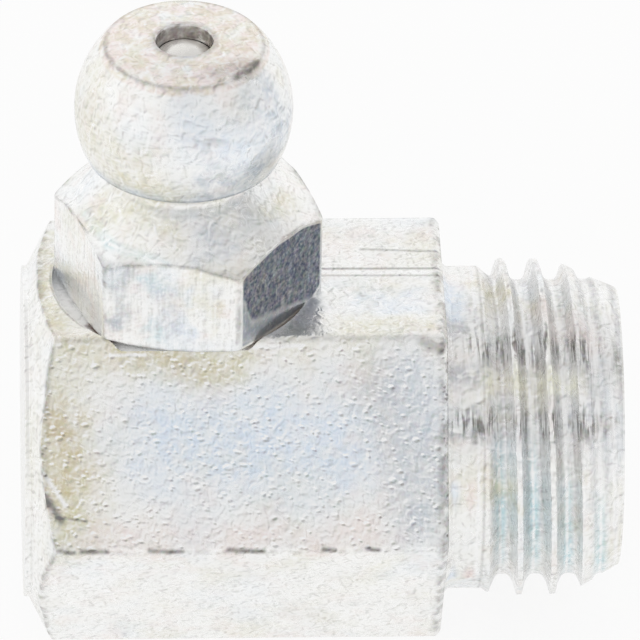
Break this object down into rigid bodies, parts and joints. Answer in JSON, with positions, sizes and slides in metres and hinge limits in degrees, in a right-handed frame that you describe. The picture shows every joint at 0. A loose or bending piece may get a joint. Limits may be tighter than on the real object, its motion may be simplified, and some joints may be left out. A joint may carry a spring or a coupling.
{
  "type": "right-angle grease nipple",
  "caption": "Right-angle grease nipple: hexagon elbow body with a threaded stud and an upright ball head, closed by a spring-loaded check ball.",
  "frame": {"origin": "centre of the shoulder, where the stud leaves the hexagon", "axes": "+X along the stud, out of the hexagon; +Z along the nipple head, towards its mouth"},
  "size_m": [0.0178, 0.0126, 0.0195],
  "materials": {
    "body_zinc": "free-cutting steel, bright zinc plated and blue passivated, lightly pitted",
    "head_zinc": "free-cutting steel, bright zinc plated and blue passivated, turned",
    "ball_steel": "hardened bearing steel, polished",
    "spring_wire": "drawn spring steel wire"
  },
  "bodies": {
    "fitting": {"elbow_body": "body_zinc", "nipple_head": "head_zinc", "check_spring": "spring_wire"},
    "valve_ball": {"check_ball": "ball_steel"}
  },
  "joints": [
    {"name": "ball_lift", "type": "slide", "parent": "fitting", "child": "valve_ball", "axis": [0, 0, -1], "range_m": [0, 0.0008], "stiffness_N_per_m": 600, "springref_m": -0.001, "deforming": ["check_spring"]}
  ]
}
